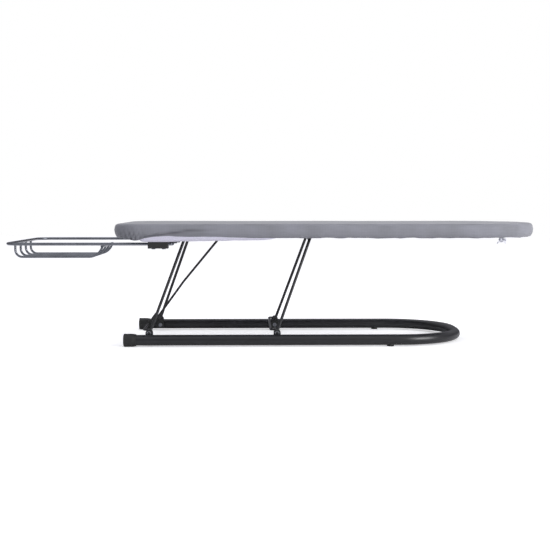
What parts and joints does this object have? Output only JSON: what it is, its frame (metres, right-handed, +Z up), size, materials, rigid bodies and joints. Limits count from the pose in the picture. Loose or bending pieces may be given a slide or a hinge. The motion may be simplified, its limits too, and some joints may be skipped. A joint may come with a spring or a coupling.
{
  "type": "tabletop ironing board",
  "caption": "Tabletop ironing board with a covered board on folding wire legs, a U-shaped tube base and a sliding wire iron rest.",
  "frame": {"origin": "centre of the footprint of the whole object, at the table", "axes": "+X towards the nose of the board, +Z up, Y = 0 is the mid-plane"},
  "size_m": [0.909, 0.31, 0.207],
  "materials": {
    "black_tube": "satin black powder coat",
    "black_wire": "satin black powder coat",
    "frame_paint": "grey powder coat",
    "black_plastic": "moulded matte",
    "rivet_steel": "zinc plated",
    "felt": "pale needle felt",
    "cover_cloth": "grey woven cotton",
    "drawcord": "woven cord",
    "plated_wire": "bright zinc plate"
  },
  "bodies": {
    "base": {"base_tube": "black_tube", "end_cap_front": "black_plastic", "end_cap_rear": "black_plastic", "glide_front": "black_plastic", "glide_rear": "black_plastic", "pivot_block_left_front": "black_plastic", "pivot_block_left_rear": "black_plastic", "pivot_block_right_front": "black_plastic", "pivot_block_right_rear": "black_plastic", "pivot_rivets": "rivet_steel"},
    "leg_left": {"leg_wire_left": "black_wire", "stretcher_left": "black_wire", "leg_retainers_left": "rivet_steel", "stay_clip": "black_plastic"},
    "leg_right": {"leg_wire_right": "black_wire", "stretcher_right": "black_wire", "leg_retainers_right": "rivet_steel"},
    "board": {"board_frame": "frame_paint", "board_mesh": "frame_paint", "rail_left_leg": "frame_paint", "rail_right_leg": "frame_paint", "rail_rest": "frame_paint", "rail_nose": "frame_paint", "stay_rail": "frame_paint", "leg_strap_left_front": "frame_paint", "leg_strap_left_rear": "frame_paint", "leg_strap_right_front": "frame_paint", "leg_strap_right_rear": "frame_paint", "strap_rivets": "rivet_steel", "stay_bracket": "frame_paint", "stay_pin": "rivet_steel", "rest_guide_front": "black_plastic", "rest_guide_rear": "black_plastic", "guide_screws": "rivet_steel", "underlay_felt": "felt", "cover": "cover_cloth", "drawcord": "drawcord", "drawcord_knot": "drawcord"},
    "stay": {"stay_wire": "black_wire"},
    "iron_rest": {"rest_frame": "plated_wire", "tray_wire_1": "plated_wire", "tray_wire_2": "plated_wire", "tray_wire_3": "plated_wire", "tray_wire_4": "plated_wire", "tray_lip": "plated_wire"}
  },
  "joints": [
    {"name": "fold", "type": "hinge", "parent": "base", "child": "leg_left", "pos_m": [-0.2183, 0, 0.0215], "axis": [0, 1, 0], "range_deg": [0, 52]},
    {"name": "right_leg_fold", "type": "hinge", "parent": "base", "child": "leg_right", "pos_m": [-0.0018, 0, 0.0215], "axis": [0, 1, 0], "range_deg": [0, 52]},
    {"name": "board_level", "type": "hinge", "parent": "leg_left", "child": "board", "pos_m": [-0.1606, 0, 0.18003], "axis": [0, 1, 0], "range_deg": [-52, 0]},
    {"name": "stay_fold", "type": "hinge", "parent": "board", "child": "stay", "pos_m": [-0.101, 0, 0.181], "axis": [0, 1, 0], "range_deg": [0, 40.56]},
    {"name": "rest_slide", "type": "slide", "parent": "board", "child": "iron_rest", "axis": [1, 0, 0], "range_m": [0, 0.075]}
  ],
  "couplings": [
    {"joint": "right_leg_fold", "follows": "fold", "ratio": 1},
    {"joint": "board_level", "follows": "fold", "ratio": -1},
    {"joint": "stay_fold", "follows": "fold", "ratio": 0.78}
  ]
}
